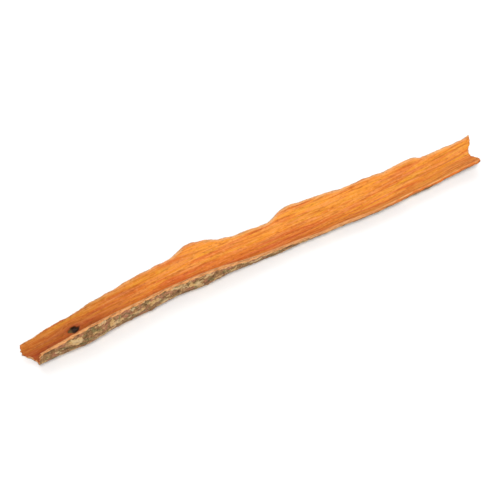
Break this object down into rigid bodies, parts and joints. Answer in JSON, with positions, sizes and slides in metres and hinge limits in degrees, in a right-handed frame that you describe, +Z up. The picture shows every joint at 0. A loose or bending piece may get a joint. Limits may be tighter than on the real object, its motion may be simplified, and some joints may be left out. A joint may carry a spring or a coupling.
{
  "type": "split cinnamon bark",
  "caption": "Long strip of dried cinnamon bark, curled along its grain into an open channel, smooth orange inside and rough grey outside, with torn ends.",
  "frame": {"origin": "under the middle of the strip's bounding box, on the surface that it rests on", "axes": "+X along the grain towards the end with the notch, +Y towards the wavy back edge, +Z up, out of the hollow"},
  "size_m": [0.2718, 0.033, 0.0157],
  "materials": {
    "cinnamon_bark": "dry and matt, fine fibres along the grain; orange inside, grey and patchy outside"
  },
  "bodies": {
    "root": {"bark_strip": "cinnamon_bark"}
  },
  "joints": []
}
